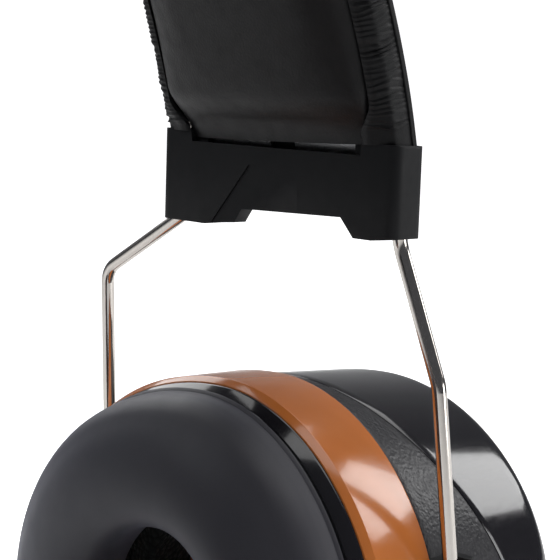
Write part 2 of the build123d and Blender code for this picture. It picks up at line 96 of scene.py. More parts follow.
class Look:
    """A procedural material on one Principled shader, with bump layers that add up."""

    NOISE_ROUGHNESS = 0.55       # strength of each finer octave against the one before

    def __init__(self, name, color, roughness, **sockets):
        self.material = bpy.data.materials.new(name)
        self.material.use_nodes = True
        self.nodes = self.material.node_tree.nodes
        self.links = self.material.node_tree.links
        self.shader = self.nodes["Principled BSDF"]
        self.shader.inputs["Base Color"].default_value = (*color, 1)
        self.shader.inputs["Roughness"].default_value = roughness
        for socket, value in sockets.items():
            self.shader.inputs[socket.replace("_", " ")].default_value = value
        self.place = self.nodes.new("ShaderNodeTexCoord").outputs["Object"]
        self.bumped = None

    def stretched(self, x, y, z):
        """Texture place scaled apart along the three axes."""
        mapping = self.nodes.new("ShaderNodeMapping")
        mapping.inputs["Scale"].default_value = (x, y, z)
        self.links.new(self.place, mapping.inputs["Vector"])
        return mapping.outputs["Vector"]

    def noise(self, size, detail=3, place=None):
        """Cloudy noise whose features are about size millimetres."""
        node = self.nodes.new("ShaderNodeTexNoise")
        node.inputs["Scale"].default_value = 1 / (size * MM)
        node.inputs["Detail"].default_value = detail
        node.inputs["Roughness"].default_value = self.NOISE_ROUGHNESS
        self.links.new(place or self.place, node.inputs["Vector"])
        return node.outputs["Fac"]

    def cells(self, size, feature="F1"):
        """Distance pattern of cells about size millimetres across."""
        node = self.nodes.new("ShaderNodeTexVoronoi")
        node.feature = feature
        node.inputs["Scale"].default_value = 1 / (size * MM)
        self.links.new(self.place, node.inputs["Vector"])
        return node.outputs["Distance"]

    def ramp(self, value, low, high, out_low=0.0, out_high=1.0):
        """Value mapped from low..high onto out_low..out_high, held at the ends."""
        node = self.nodes.new("ShaderNodeMapRange")
        ends = {"From Min": low, "From Max": high, "To Min": out_low, "To Max": out_high}
        for socket, number in ends.items():
            node.inputs[socket].default_value = number
        self.links.new(value, node.inputs["Value"])
        return node.outputs["Result"]

    def tint(self, value, dark, light):
        """Colours the surface between two colours by value."""
        node = self.nodes.new("ShaderNodeValToRGB")
        node.color_ramp.elements[0].color = (*dark, 1)
        node.color_ramp.elements[1].color = (*light, 1)
        self.links.new(value, node.inputs["Fac"])
        self.links.new(node.outputs["Color"], self.shader.inputs["Base Color"])

    def polish(self, value, low, high):
        """Roughness between low and high by value."""
        self.links.new(self.ramp(value, 0.3, 0.7, low, high), self.shader.inputs["Roughness"])

    def bump(self, value, depth, strength=1.0):
        """Raises the surface by up to depth millimetres where value is 1."""
        node = self.nodes.new("ShaderNodeBump")
        node.inputs["Strength"].default_value = strength
        node.inputs["Distance"].default_value = depth * MM
        self.links.new(value, node.inputs["Height"])
        if self.bumped is not None:
            self.links.new(self.bumped, node.inputs["Normal"])
        self.bumped = node.outputs["Normal"]
        self.links.new(self.bumped, self.shader.inputs["Normal"])


def leatherette(name, dark, light, roughness, grain):
    """Thin coated fabric with a fine pebbled grain and soft creasing."""
    look = Look(
        name, dark, roughness, Sheen_Weight=0.02, Sheen_Roughness=0.4, Specular_IOR_Level=0.22
    )
    look.tint(look.noise(14, 4), dark, light)
    look.polish(look.noise(3, 3), roughness - 0.05, roughness + 0.06)
    look.bump(look.cells(grain), 0.05, 0.5)
    look.bump(look.noise(7, 2), 0.25, 0.35)
    return look.material


pad_look = leatherette(
    "pad_leatherette",
    (0.0062, 0.0060, 0.0066),
    (0.0092, 0.0088, 0.0095),
    roughness=0.40, grain=0.45,
)
sleeve_look = leatherette(
    "sleeve_leatherette",
    (0.0058, 0.0058, 0.0064),
    (0.0085, 0.0084, 0.0092),
    roughness=0.46, grain=0.5,
)
gather_look = leatherette(
    "gathered_leatherette",
    (0.0045, 0.0046, 0.0052),
    (0.0080, 0.0080, 0.0088),
    roughness=0.50, grain=0.35,
)


def cushion_material():
    """Soft matte foil drawn tight over foam."""
    look = Look("cushion_foil", (0.03, 0.03, 0.036), 0.5, Sheen_Weight=0.22, Sheen_Roughness=0.45)
    look.shader.inputs["Sheen Tint"].default_value = (0.75, 0.78, 0.95, 1)
    look.tint(look.noise(22, 3), (0.030, 0.030, 0.038), (0.040, 0.038, 0.047))
    look.polish(look.noise(5, 3), 0.47, 0.55)
    look.bump(look.noise(0.35, 3), 0.02, 0.45)
    look.bump(look.noise(9, 2), 0.12, 0.3)
    return look.material


def block_material():
    """Matte moulded plastic with a fine spark-eroded skin."""
    look = Look("block_plastic", (0.0085, 0.0088, 0.0098), 0.52, Specular_IOR_Level=0.22)
    look.tint(look.noise(9, 3), (0.0072, 0.0076, 0.0086), (0.0105, 0.0106, 0.0118))
    look.polish(look.noise(2.5, 4), 0.46, 0.58)
    look.bump(look.noise(0.22, 3), 0.02, 0.5)
    return look.material


def textured_material():
    """Moulded plastic with a leather-like pebble pattern."""
    look = Look("textured_plastic", (0.012, 0.012, 0.015), 0.38)
    look.tint(look.noise(6, 3), (0.0095, 0.0095, 0.0125), (0.0150, 0.0140, 0.0175))
    look.polish(look.noise(1.2, 3), 0.32, 0.44)
    look.bump(look.cells(0.62, feature="SMOOTH_F1"), 0.11, 0.85)
    look.bump(look.noise(0.3, 3), 0.04, 0.6)
    return look.material


def gloss_material(name, dark, light, roughness):
    """Polished moulded plastic with a faint ripple and hairline wear."""
    look = Look(name, dark, roughness, Coat_Weight=0.35, Coat_Roughness=0.06)
    look.tint(look.noise(12, 3), dark, light)
    hairline = look.noise(1.1, 5, place=look.stretched(0.35, 3.0, 0.5))
    look.polish(hairline, roughness - 0.03, roughness + 0.05)
    look.bump(look.noise(6, 2), 0.06, 0.25)
    look.bump(look.noise(0.5, 2), 0.004, 0.4)
    return look.material


def wire_material():
    """Bright drawn spring wire: fine lengthwise streaks and a slightly warm tone."""
    look = Look("bright_wire", (0.74, 0.70, 0.65), 0.1, Metallic=1.0)
    streaks = look.noise(1.0, 5, place=look.stretched(3.0, 3.0, 0.12))
    look.tint(streaks, (0.60, 0.55, 0.50), (0.80, 0.77, 0.73))
    look.polish(streaks, 0.07, 0.17)
    look.bump(streaks, 0.012, 0.4)
    return look.material


def steel_material():
    """Plain spring steel, brushed along its length."""
    look = Look("spring_steel", (0.42, 0.42, 0.43), 0.32, Metallic=1.0)
    streaks = look.noise(0.6, 4, place=look.stretched(0.3, 4.0, 0.3))
    look.tint(streaks, (0.33, 0.33, 0.34), (0.50, 0.50, 0.51))
    look.polish(streaks, 0.26, 0.42)
    look.bump(streaks, 0.01, 0.4)
    return look.material


def rubber_material():
    """Dull moulded rubber."""
    look = Look("seal_rubber", (0.008, 0.008, 0.009), 0.7)
    look.tint(look.noise(4, 3), (0.006, 0.006, 0.007), (0.011, 0.011, 0.012))
    look.bump(look.noise(0.3, 3), 0.02, 0.5)
    return look.material


def foam_material():
    """Open-cell foam, with painted shade darkening the hollows between its cells."""
    look = Look("foam", (0.012, 0.015, 0.014), 0.9, Sheen_Weight=0.1)
    pore_depth_and_shade = look.cells(1.1)
    # painted shade: the tint darkens the hollows between the cells, where the bump below sinks the
    # surface
    look.tint(look.ramp(pore_depth_and_shade, 0.1, 0.7), (0.016, 0.020, 0.018), (0.006, 0.007, 0.007))
    look.bump(look.ramp(pore_depth_and_shade, 0.0, 0.8, 1.0, 0.0), 0.5, 0.8)
    look.bump(look.noise(0.5, 4), 0.15, 0.6)
    return look.material


def plate_material():
    """Grey satin plastic."""
    look = Look("plate_plastic", (0.05, 0.05, 0.055), 0.3)
    look.tint(look.noise(5, 3), (0.035, 0.035, 0.040), (0.065, 0.064, 0.070))
    look.polish(look.noise(1.5, 3), 0.25, 0.38)
    look.bump(look.noise(0.4, 3), 0.01, 0.5)
    return look.material


cushion_look = cushion_material()
block_look = block_material()
textured_look = textured_material()
orange_look = gloss_material(
    "orange_gloss", (0.56, 0.165, 0.036), (0.64, 0.200, 0.048), roughness=0.16
)
black_gloss_look = gloss_material(
    "black_gloss", (0.0105, 0.0100, 0.0125), (0.0140, 0.0130, 0.0160), roughness=0.12
)
wire_look = wire_material()
steel_look = steel_material()
rubber_look = rubber_material()
foam_look = foam_material()
plate_look = plate_material()
fastener_look = block_look

# ================================================================================================
# Mesh helpers
# ================================================================================================
SHARP = radians(32)              # edges that turn by more stay sharp


def mesh_object(name, points, faces, look):
    """Mesh from points in millimetres, smooth but for its sharp edges."""
    mesh = bpy.data.meshes.new(name)
    mesh.from_pydata([Vector(p) * MM for p in points], [], faces)
    bm = bmesh.new()
    bm.from_mesh(mesh)
    bmesh.ops.recalc_face_normals(bm, faces=bm.faces)
    bm.to_mesh(mesh)
    bm.free()
    finish_mesh(mesh, look)
    obj = bpy.data.objects.new(name, mesh)
    bpy.context.scene.collection.objects.link(obj)
    return obj


def finish_mesh(mesh, look):
    """Smooth shading but for sharp edges, and one material."""
    mesh.shade_smooth()
    mesh.set_sharp_from_angle(angle=SHARP)
    mesh.materials.clear()
    mesh.materials.append(look)


def mirrored(obj, name):
    """Copy of a left piece on the right side."""
    twin = obj.copy()
    twin.data = obj.data.copy()
    twin.name = twin.data.name = name
    twin.data.transform(Matrix.Scale(-1, 4, (1, 0, 0)))
    twin.data.flip_normals()
    bpy.context.scene.collection.objects.link(twin)
    return twin


def pair(obj, piece, nodes, body=None):
    """Names the left piece, makes its right twin, and sets what both ride on and stand for."""
    obj.name = obj.data.name = f"left_{piece}"
    for side, one in (("left", obj), ("right", mirrored(obj, f"right_{piece}"))):
        if body == "band":
            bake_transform(one)
        else:
            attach(one, f"{side}_{body}")
        prefix = "" if body == "band" else f"{side}_"
        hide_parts(*[prefix + n for n in nodes])


def skin(rings, closed=False):
    """Faces through rings of equally many points; closed joins the last ring to the first."""
    count = len(rings[0])
    points = [p for ring in rings for p in ring]
    faces = []
    last = len(rings) if closed else len(rings) - 1
    for r in range(last):
        a, b = r * count, (r + 1) % len(rings) * count
        for i in range(count):
            j = (i + 1) % count
            faces.append((a + i, a + j, b + j, b + i))
    return points, faces


def capped(rings):
    """Skin through rings with both ends closed by flat faces."""
    points, faces = skin(rings)
    count = len(rings[0])
    faces.append(tuple(range(count)))
    faces.append(tuple(range(len(points) - count, len(points))))
    return points, faces


def fanned(rings, first, last):
    """Skin through rings with a centre point at both ends."""
    points, faces = skin(rings)
    count = len(rings[0])
    end = len(points) - count
    points += [first, last]
    for i in range(count):
        j = (i + 1) % count
        faces.append((len(points) - 2, j, i))
        faces.append((len(points) - 1, end + i, end + j))
    return points, faces


def rounded(corners, closed=True, steps=4):
    """Outline through (x, y, round) corners, each rounded by its own radius."""
    outline = []
    count = len(corners)
    for i, (x, y, radius) in enumerate(corners):
        if radius == 0 or (not closed and i in (0, count - 1)):
            outline.append((x, y))
            continue
        here = Vector((x, y))
        before = Vector(corners[i - 1][:2]) - here
        after = Vector(corners[(i + 1) % count][:2]) - here
        half = before.angle(after) / 2
        reach = min(radius / tan(half), before.length * 0.49, after.length * 0.49)
        start, end = here + before.normalized() * reach, here + after.normalized() * reach
        for k in range(steps + 1):
            t = k / steps
            p = start.lerp(here, t).lerp(here.lerp(end, t), t)
            outline.append((p.x, p.y))
    return outline


# ================================================================================================
# Cups
# ================================================================================================
OVAL_SKEW = 0.116        # share by which the oval is fuller towards the rear
OVAL_STEPS = 192
RING_A, RING_B = 44.9, 46.1
RING_FRONT, RING_REAR = -18.7, -2.35
CUP_MID = CUP_Y - OVAL_SKEW * RING_A


def oval(x, a, b, steps=OVAL_STEPS):
    """Points round the cup's oval, x outwards from the pivots."""
    ring = []
    for i in range(steps):
        t = 2 * pi * i / steps
        y = a * (cos(t) + OVAL_SKEW * abs(cos(t)))
        ring.append((LEG_X + x, CUP_MID + y, CUP_Z + b * sin(t)))
    return ring


def turned(name, profile, look, squeeze=1.0):
    """Closed ring with a profile of (x, outwards from the coloured ring's outline, round)."""
    outline = rounded(profile)
    rings = [oval(x, RING_A + r, RING_B + r * squeeze) for x, r in outline]
    points, faces = skin(rings, closed=True)
    return mesh_object(name, points, faces, look)


# ---- orange ring with the bowl behind it --------------------------------------------------------
BOWL_MOUTH, BOWL_END, BOWL_T = (33.5, 37.5), (28.0, 32.0), 2.0
ring_profile = [
    (13.5, BOWL_END[0] - 6, BOWL_END[1] - 6),
    (13.1, BOWL_END[0] - 3, BOWL_END[1] - 3),
    (11.6, BOWL_END[0] - 0.8, BOWL_END[1] - 0.8),
    (9.0, BOWL_END[0] + 0.6, BOWL_END[1] + 0.6),
    (RING_FRONT + 1.0, BOWL_MOUTH[0], BOWL_MOUTH[1]),
    (RING_FRONT + 0.3, BOWL_MOUTH[0] + 0.3, BOWL_MOUTH[1] + 0.3),
    (RING_FRONT, BOWL_MOUTH[0] + 1.0, BOWL_MOUTH[1] + 1.0),
]
for x, r in rounded(
    [
        (RING_FRONT, -6, 0),
        (RING_FRONT, -0.15, 0.2),
        (RING_FRONT + 1.5, 0.75, 0.35),
        (RING_REAR, 0.25, 0.45),
        (RING_REAR, -2.8, 0.3),
        (RING_FRONT + 2.4, -3.0, 0.8),
        (RING_FRONT + 2.3, -6.0, 0),
    ],
    closed=False,
):
    ring_profile.append((x, RING_A + r, RING_B + r))
ring_profile += [
    (RING_FRONT + 2.3, BOWL_MOUTH[0] + BOWL_T, BOWL_MOUTH[1] + BOWL_T),
    (11.0, BOWL_END[0] + BOWL_T, BOWL_END[1] + BOWL_T),
    (14.2, BOWL_END[0] - 0.6, BOWL_END[1] - 0.6),
    (15.5, BOWL_END[0] - 4.0, BOWL_END[1] - 4.0),
]
points, faces = fanned(
    [oval(x, a, b) for x, a, b in ring_profile],
    (LEG_X + 13.5, CUP_MID, CUP_Z),
    (LEG_X + 15.5, CUP_MID, CUP_Z),
)
ring = mesh_object("ring", points, faces, orange_look)
pair(ring, "orange_ring", ["inner_shell"], "cup")

# ---- glossy lip and the thin plate that carries the cushion -------------------------------------
lip = turned(
    "lip",
    [
        (RING_FRONT, -0.45, 0.2),
        (RING_FRONT - 0.5, -0.55, 0.4),
        (-21.05, -2.5, 0.7),
        (-21.25, -3.8, 0.4),
        (-21.25, -12.0, 0.4),
        (RING_FRONT, -12.0, 0.4),
    ],
    black_gloss_look,
    squeeze=0.7,
)
pair(lip, "glossy_lip", ["mounting_plate"], "cup")

plate = turned(
    "plate",
    [
        (-21.3, -3.3, 0.15),
        (-21.8, -2.9, 0.25),
        (-22.3, -3.2, 0.2),
        (-22.3, -13.0, 0.2),
        (-21.3, -13.0, 0.2),
    ],
    plate_look,
    squeeze=0.6,
)
pair(plate, "cushion_rim", ["cushion_plate"], "cup")

# ---- outer shell: textured band and glossy cap --------------------------------------------------
SHELL_FRONT = RING_REAR + 0.85
SHELL_END = 35.5
SHELL_ROUND = 5.0
SEAM_X, SEAM_R, SEAM_Z = 28.6, 150.0, -40.0
SHELL_FRONT_AB = (RING_A - 0.6, RING_B - 0.6)
SHELL_END_AB = (46.9, 42.4)
SEAM_HALF = 0.12


def shell_ab(x):
    """Half width and half height of the outer shell at x."""
    share = (x - SHELL_FRONT) / (SHELL_END - SHELL_FRONT)
    a = SHELL_FRONT_AB[0] + (SHELL_END_AB[0] - SHELL_FRONT_AB[0]) * share
    b = SHELL_FRONT_AB[1] + (SHELL_END_AB[1] - SHELL_FRONT_AB[1]) * share
    over = x - (SHELL_END - SHELL_ROUND)
    if over > 0:
        drop = SHELL_ROUND - (max(0.0, SHELL_ROUND**2 - over**2)) ** 0.5
        a, b = a - drop, b - drop
    return a, b


def shell_ring(place, inset):
    """Ring on the outer shell. place(seam) gives x at a point whose seam is at that x."""
    ring = []
    for i in range(OVAL_STEPS):
        t = 2 * pi * i / OVAL_STEPS
        x = SHELL_FRONT
        for _ in range(6):       # x and the seam depend on each other, and settle in a few rounds
            a, b = shell_ab(x)
            z = (b - inset) * sin(t)
            seam = SEAM_X - SEAM_R + (SEAM_R**2 - (z - SEAM_Z) ** 2) ** 0.5
            x = place(seam)
        y = (a - inset) * (cos(t) + OVAL_SKEW * abs(cos(t)))
        ring.append((LEG_X + x, CUP_MID + y, CUP_Z + z))
    return ring


def between(start, end_gap, share):
    """Place a share of the way from start to the seam less end_gap."""
    return lambda seam: start + (seam - end_gap - start) * share


WALL = 2.4
FRONT_EASE, SEAM_EASE = 0.4, 0.3      # width of the rolled edges at the ring and at the seam
housing_rings = [shell_ring(lambda seam: SHELL_FRONT, d) for d in (WALL, 0.45, 0.15)]
housing_rings += [shell_ring(lambda seam: SHELL_FRONT + FRONT_EASE, 0.0)]
housing_rings += [
    shell_ring(between(SHELL_FRONT + FRONT_EASE, SEAM_HALF + SEAM_EASE, k / 16), 0.0)
    for k in range(1, 17)
]
housing_rings += [
    shell_ring(between(SHELL_FRONT, SEAM_HALF, 1.0), d) for d in (0.12, 0.35, WALL)
]
points, faces = skin(housing_rings, closed=True)
housing = mesh_object("housing", points, faces, textured_look)
pair(housing, "textured_band", ["outer_housing"], "cup")

STRAIGHT_END = SHELL_END - SHELL_ROUND
CAP_START = 0.42                      # from the seam to the end of the cap's rolled edge
ALMOST = 0.9995                       # the round stops just short, where its slope is endless
cap_rings = [shell_ring(lambda seam: seam + SEAM_HALF, d) for d in (WALL, 0.35, 0.1)]
cap_rings += [shell_ring(lambda seam: seam + SEAM_HALF + SEAM_EASE, 0.0)]
for k in range(1, 13):
    cap_rings.append(
        shell_ring(
            lambda seam, s=k / 12: seam + CAP_START + (STRAIGHT_END - seam - CAP_START) * s, 0.0
        )
    )
for k in range(1, 13):
    turn = k / 12 * pi / 2
    x = STRAIGHT_END + SHELL_ROUND * sin(turn) * ALMOST
    cap_rings.append(oval(x, *shell_ab(x)))
end_a, end_b = shell_ab(STRAIGHT_END + SHELL_ROUND * ALMOST)
for k in range(1, 10):
    s = k / 10
    dome = 0.9 * (1 - (1 - s) ** 2)
    cap_rings.append(oval(SHELL_END + dome, end_a * (1 - s), end_b * (1 - s)))
points, faces = fanned(
    cap_rings,
    (LEG_X + SEAM_X, CUP_MID, CUP_Z),
    (LEG_X + SHELL_END + 0.95, CUP_MID, CUP_Z),
)
cap = mesh_object("cap", points, faces, black_gloss_look)
pair(cap, "glossy_cap", ["outer_cap"], "cup")

# ---- foam lining ------------------------------------------------------------------------------
liner = turned(
    "liner",
    [
        (-11.8, -13.6, 1.5),
        (-12.0, -22.6, 2.0),
        (0.5, -22.2, 1.5),
        (0.5, -15.4, 0.8),
    ],
    foam_look,
    squeeze=0.82,
)
pair(liner, "foam_lining", ["foam_liner"], "cup")

# ---- ring cushion -------------------------------------------------------------------------------
RIM_A, RIM_B, RIM_X, RIM_R = 33.95, 36.14, -24.34, 8.5     # roll along the outer edge
SWELL = 0.8                           # most that the simulation may move a point of the cushion
CUSHION_HELD = -24.2                  # the cushion is held from here to its flange


def curve_through(knots, steps):
    """Smooth curve through knots, with steps points between two of them."""
    points = []
    last = len(knots) - 1
    for i in range(last):
        a, b, c, d = (Vector(knots[max(0, min(last, i + k))]) for k in (-1, 0, 1, 2))
        for n in range(steps):
            t = n / steps
            p = 0.5 * (
                2 * b
                + (c - a) * t
                + (2 * a - 5 * b + 4 * c - d) * t**2
                + (3 * b - a - 3 * c + d) * t**3
            )
            points.append(tuple(p))
    return points + [tuple(knots[-1])]


def cushion_profile():
    """(x, outwards from the rim's oval) round the tube, from the welded flange over the front."""
    flange = [(-22.35, 3.0), (-22.35, 8.6), (-22.55, 9.15), (-22.85, 9.05), (-23.25, 8.62)]
    knots = [(RIM_X - RIM_R * sin(radians(g)), RIM_R * cos(radians(g))) for g in (6, 24, 42, 60)]
    knots += [(-33.7, 1.4), (-35.1, -1.8), (-36.0, -5.2), (-36.3, -8.4)]
    knots += [(-35.9, -11.3), (-34.7, -13.5)]
    knots += [(-32.6, -14.7), (-29.8, -15.0), (-26.5, -14.7), (-22.6, -13.9)]
    return flange + curve_through(knots, 3) + [(-22.35, -13.0), (-22.35, -5.0)]


def simulate_pad(obj, held, limit, pressure):
    """Swells a closed mesh as pressurised cloth, holding the vertices that held() picks, and keeps
    every point within limit millimetres of where it began."""
    start = [v.co.copy() for v in obj.data.vertices]
    group = obj.vertex_groups.new(name="held")
    for v in obj.data.vertices:
        weight = held(v.co / MM)
        if weight > 0:
            group.add([v.index], weight, "REPLACE")
    cloth = obj.modifiers.new("cloth", "CLOTH")
    cloth.settings.quality = 5
    cloth.settings.mass = 0.2
    cloth.settings.tension_stiffness = 12
    cloth.settings.compression_stiffness = 12
    cloth.settings.bending_stiffness = 0.4
    cloth.settings.vertex_group_mass = "held"
    cloth.settings.use_pressure = True
    cloth.settings.uniform_pressure_force = pressure
    cloth.settings.effector_weights.gravity = 0
    cloth.collision_settings.use_self_collision = False
    cloth.point_cache.frame_start = 1
    cloth.point_cache.frame_end = 20
    scene = bpy.context.scene
    for number in range(1, 21):
        scene.frame_set(number)
    graph = bpy.context.evaluated_depsgraph_get()
    moved = [v.co.copy() for v in obj.evaluated_get(graph).data.vertices]
    obj.modifiers.remove(cloth)
    obj.vertex_groups.clear()
    scene.frame_set(1)
    for v, a, b in zip(obj.data.vertices, start, moved):
        step = b - a
        if step.length > limit * MM:
            step *= limit * MM / step.length
        v.co = a + step


rings = [oval(x, RIM_A + u, RIM_B + u, 144) for x, u in cushion_profile()]
points, faces = skin(rings, closed=True)
cushion = mesh_object("cushion", points, faces, cushion_look)
simulate_pad(cushion, lambda p: 1.0 if p.x > LEG_X + CUSHION_HELD else 0.0, SWELL, 3.0)
pair(cushion, "ring_cushion", ["cushion"], "cup")

# ================================================================================================
# Headband
# ================================================================================================
CROWN_Z = 7.0
STRIP_X = BLOCK_X - 2.2
ARM, SHOULDER = (180.0, 26.0, 15.0), (52.0, 60.0, 26.0)       # radius, lean from, lean to
RUN = sum(r * (cos(radians(to)) - cos(radians(lean))) for r, lean, to in (ARM, SHOULDER))
CROWN = ((STRIP_X - RUN) / cos(radians(SHOULDER[1])), 90.0, SHOULDER[1])
ARCS = (CROWN, SHOULDER, ARM)
ARC_LENGTH = sum(r * radians(a - b) for r, a, b in ARCS)


def band_point(s):
    """(x, z) on the band's mid-line and its outward normal, s along it from the crown."""
    x, z = 0.0, CROWN_Z
    for radius, start, end in ARCS:
        length = radius * radians(start - end)
        run = min(s, length)
        lean = radians(start) - run / radius
        x += radius * (cos(lean) - cos(radians(start)))
        z -= radius * (sin(radians(start)) - sin(lean))
        s -= run
        if s <= 0:
            return x, z, cos(lean), sin(lean)
    lean = radians(ARCS[-1][2])
    return x + s * sin(lean), z - s * cos(lean), cos(lean), sin(lean)


def smooth_step(t):
    """Eases from 0 to 1 as t goes from 0 to 1."""
    t = max(0.0, min(1.0, t))
    return t * t * (3 - 2 * t)


WAIST = 0.06                          # share of its width that the band loses above the block
WAIST_RUN = 60                        # length over which it does


def band_ring(s, section, waist=WAIST):
    """Section of (y, outwards) points placed across the band at s, narrower away from the block."""
    x, z, nx, nz = band_point(s)
    width = 1 - waist * smooth_step((ARC_LENGTH - s) / WAIST_RUN)
    return [(x + n * nx, y * width, z + n * nz) for y, n in section]


def grounded(ring):
    """Ring slid along the end of the band until it stands on the block's top."""
    lean = radians(ARCS[-1][2])
    moved = []
    for x, y, z in ring:
        drop = (z - top_at(y) + 0.3) / cos(lean)
        moved.append((x + drop * sin(lean), y, z - drop * cos(lean)))
    return moved


def spread(count, length):
    """Evenly spaced places from 0 to length."""
    return [length * i / (count - 1) for i in range(count)]


# ---- outer cover --------------------------------------------------------------------------------
SLEEVE_HALF = 28.5
SLEEVE_OUT, SLEEVE_IN, SLEEVE_T = 3.6, 2.0, 0.9


def sleeve_section():
    """Section of the cover: a shallow channel, open towards the head."""
    crown = 0.35
    out = [(-SLEEVE_HALF, SLEEVE_IN, 0.2), (-SLEEVE_HALF, SLEEVE_OUT - 0.2, 1.5)]
    for k in range(1, 8):
        y = -SLEEVE_HALF + 2 * SLEEVE_HALF * k / 8
        out.append((y, SLEEVE_OUT + crown * (1 - (y / SLEEVE_HALF) ** 2), 0))
    out += [(SLEEVE_HALF, SLEEVE_OUT - 0.2, 1.5), (SLEEVE_HALF, SLEEVE_IN, 0.2)]
    inner = SLEEVE_HALF - SLEEVE_T
    out += [(inner, SLEEVE_IN, 0.2), (inner, SLEEVE_OUT - SLEEVE_T, 0.8)]
    out += [(-inner, SLEEVE_OUT - SLEEVE_T, 0.8), (-inner, SLEEVE_IN, 0.2)]
    return rounded(out)


rings = [band_ring(s, sleeve_section()) for s in spread(110, ARC_LENGTH - 1.5)]
rings.append(grounded(rings[-1]))
points, faces = capped(rings)
sleeve = mesh_object("sleeve", points, faces, sleeve_look)
pair(sleeve, "band_cover", ["headband_sleeve"], "band")

# ---- spring strips ------------------------------------------------------------------------------
STRIP_Y, STRIP_HALF, STRIP_HALF_T, STRIP_ROUND = 10.5, 7.5, 0.45, 0.2
for label, middle in (("front", -STRIP_Y), ("rear", STRIP_Y)):
    low, high = middle - STRIP_HALF, middle + STRIP_HALF
    section = rounded(
        [
            (low, -STRIP_HALF_T, STRIP_ROUND),
            (high, -STRIP_HALF_T, STRIP_ROUND),
            (high, STRIP_HALF_T, STRIP_ROUND),
            (low, STRIP_HALF_T, STRIP_ROUND),
        ]
    )
    points, faces = capped([band_ring(s, section, 0.0) for s in spread(90, ARC_LENGTH + 9)])
    strip = mesh_object("strip", points, faces, steel_look)
    pair(strip, f"{label}_strip", [f"{label}_spring_strip"], "band")

# ---- padded inside ------------------------------------------------------------------------------
PAD_HALF = 24.4
PAD_BACK, PAD_SIDE, PAD_CROWN = -0.9, -3.3, -7.0
NECK_HALF, NECK_SIDE, NECK_CROWN = 21.6, -1.6, -2.6           # where it enters the block
TUCK = 11.0                           # length over which it thins


def pad_section(s, length):
    """The pad's section, thinner and narrower where it tucks into the block."""
    full = smooth_step((length - s) / TUCK)
    crown = NECK_CROWN + (PAD_CROWN - NECK_CROWN) * full
    side = NECK_SIDE + (PAD_SIDE - NECK_SIDE) * full
    half = NECK_HALF + (PAD_HALF - NECK_HALF) * full
    section = []
    for k in range(33):
        t = pi * k / 32
        y = -half * cos(t)
        n = side + (crown - side) * sin(t) ** 0.75
        section.append((y, n))
    section += [(half - 1.0, PAD_BACK - 0.9 * full), (half - 3.6, PAD_BACK)]
    section += [(y, PAD_BACK) for y in (14, 7, 0, -7, -14)]
    section += [(-half + 3.6, PAD_BACK), (-half + 1.0, PAD_BACK - 0.9 * full)]
    return section


pad_end = ARC_LENGTH + 1.2
points, faces = capped([band_ring(s, pad_section(s, pad_end)) for s in spread(100, pad_end)])
pad = mesh_object("pad", points, faces, pad_look)


def pad_held(p):
    """The pad is held at the crown's middle and where it enters the block."""
    if p.x < 0.5 or p.z < BLOCK_TOP + 1.5:
        return 1.0
    return 0.0


simulate_pad(pad, pad_held, 0.5, 2.0)
pair(pad, "band_pad", ["headband_pad"], "band")

# ---- gathered strips along both edges -----------------------------------------------------------
FOLD_PITCH = 1.05
TRIM_OUT = 28.15


def fold_height(s, v):
    """Height of the gathers at s along the strip and v across it, in millimetres."""
    wander = noise.noise(Vector((s * 0.23, v * 1.1, 3.1)))
    wander += 0.5 * noise.noise(Vector((s * 0.6, v * 2.3, 9.7)))
    phase = 2 * pi * (s / FOLD_PITCH + 0.9 * wander)
    swing = 0.55 + 0.6 * noise.noise(Vector((s * 0.35, v * 1.7, 5.5)))
    edge = sin(pi * min(1, max(0, v))) ** 0.6
    return (0.26 * sin(phase) + 0.09 * sin(2.1 * phase + 1.3)) * swing * edge + 0.35 * edge * wander


def trim_path(side, s):
    """Across the strip from the cover's edge over the corner to the pad's edge."""
    tuck = smooth_step((s - ARC_LENGTH + 7) / 7)
    inner = 24.6 - 3.6 * tuck
    return [
        (side * TRIM_OUT, 2.4),
        (side * (TRIM_OUT + 0.15), 0.4),
        (side * (TRIM_OUT - 0.15), -2.4),
        (side * (inner + 1.5), -3.9 + 0.3 * tuck),
        (side * inner, -3.9 + 0.6 * tuck),
    ]


def along(path, v):
    """Point at share v of a path's length."""
    lengths = [hypot(b[0] - a[0], b[1] - a[1]) for a, b in zip(path, path[1:])]
    left = v * sum(lengths)
    for (a, b), length in zip(zip(path, path[1:]), lengths):
        if left <= length or (a, b) == (path[-2], path[-1]):
            share = min(1.0, left / length)
            return a[0] + (b[0] - a[0]) * share, a[1] + (b[1] - a[1]) * share
        left -= length


def softened(points):
    """Points each drawn half way towards the middle of its neighbours."""
    last = len(points) - 1
    soft = []
    for k, (y, n) in enumerate(points):
        before, after = points[max(0, k - 1)], points[min(last, k + 1)]
        soft.append(((before[0] + 2 * y + after[0]) / 4, (before[1] + 2 * n + after[1]) / 4))
    return soft


def trim_rings(side):
    """Rings of a gathered strip, its outer face lifted by the folds."""
    rings = []
    across = 22
    thick = 0.8
    for s in spread(900, ARC_LENGTH - 1.6):
        path = trim_path(side, s)
        mid = softened([along(path, k / (across - 1)) for k in range(across)])
        outer, inner = [], []
        for k, (y, n) in enumerate(mid):
            before, after = mid[max(0, k - 1)], mid[min(across - 1, k + 1)]
            ty, tn = after[0] - before[0], after[1] - before[1]
            size = hypot(ty, tn)
            ny, nn = abs(tn) / size * side, -abs(ty) / size
            lift = fold_height(s, k / (across - 1))
            outer.append((y + ny * lift, n + nn * lift))
            if k % 3 == 0 or k == across - 1:
                inner.append((y - ny * thick, n - nn * thick))
        rings.append(band_ring(s, outer + inner[::-1]))
    return rings + [grounded(rings[-1])]


for label, side in (("front", -1), ("rear", 1)):
    points, faces = capped(trim_rings(side))
    trim = mesh_object("trim", points, faces, gather_look)
    trim.data.set_sharp_from_angle(angle=radians(70))
    pair(trim, f"{label}_gathers", [f"{label}_trim"], "band")

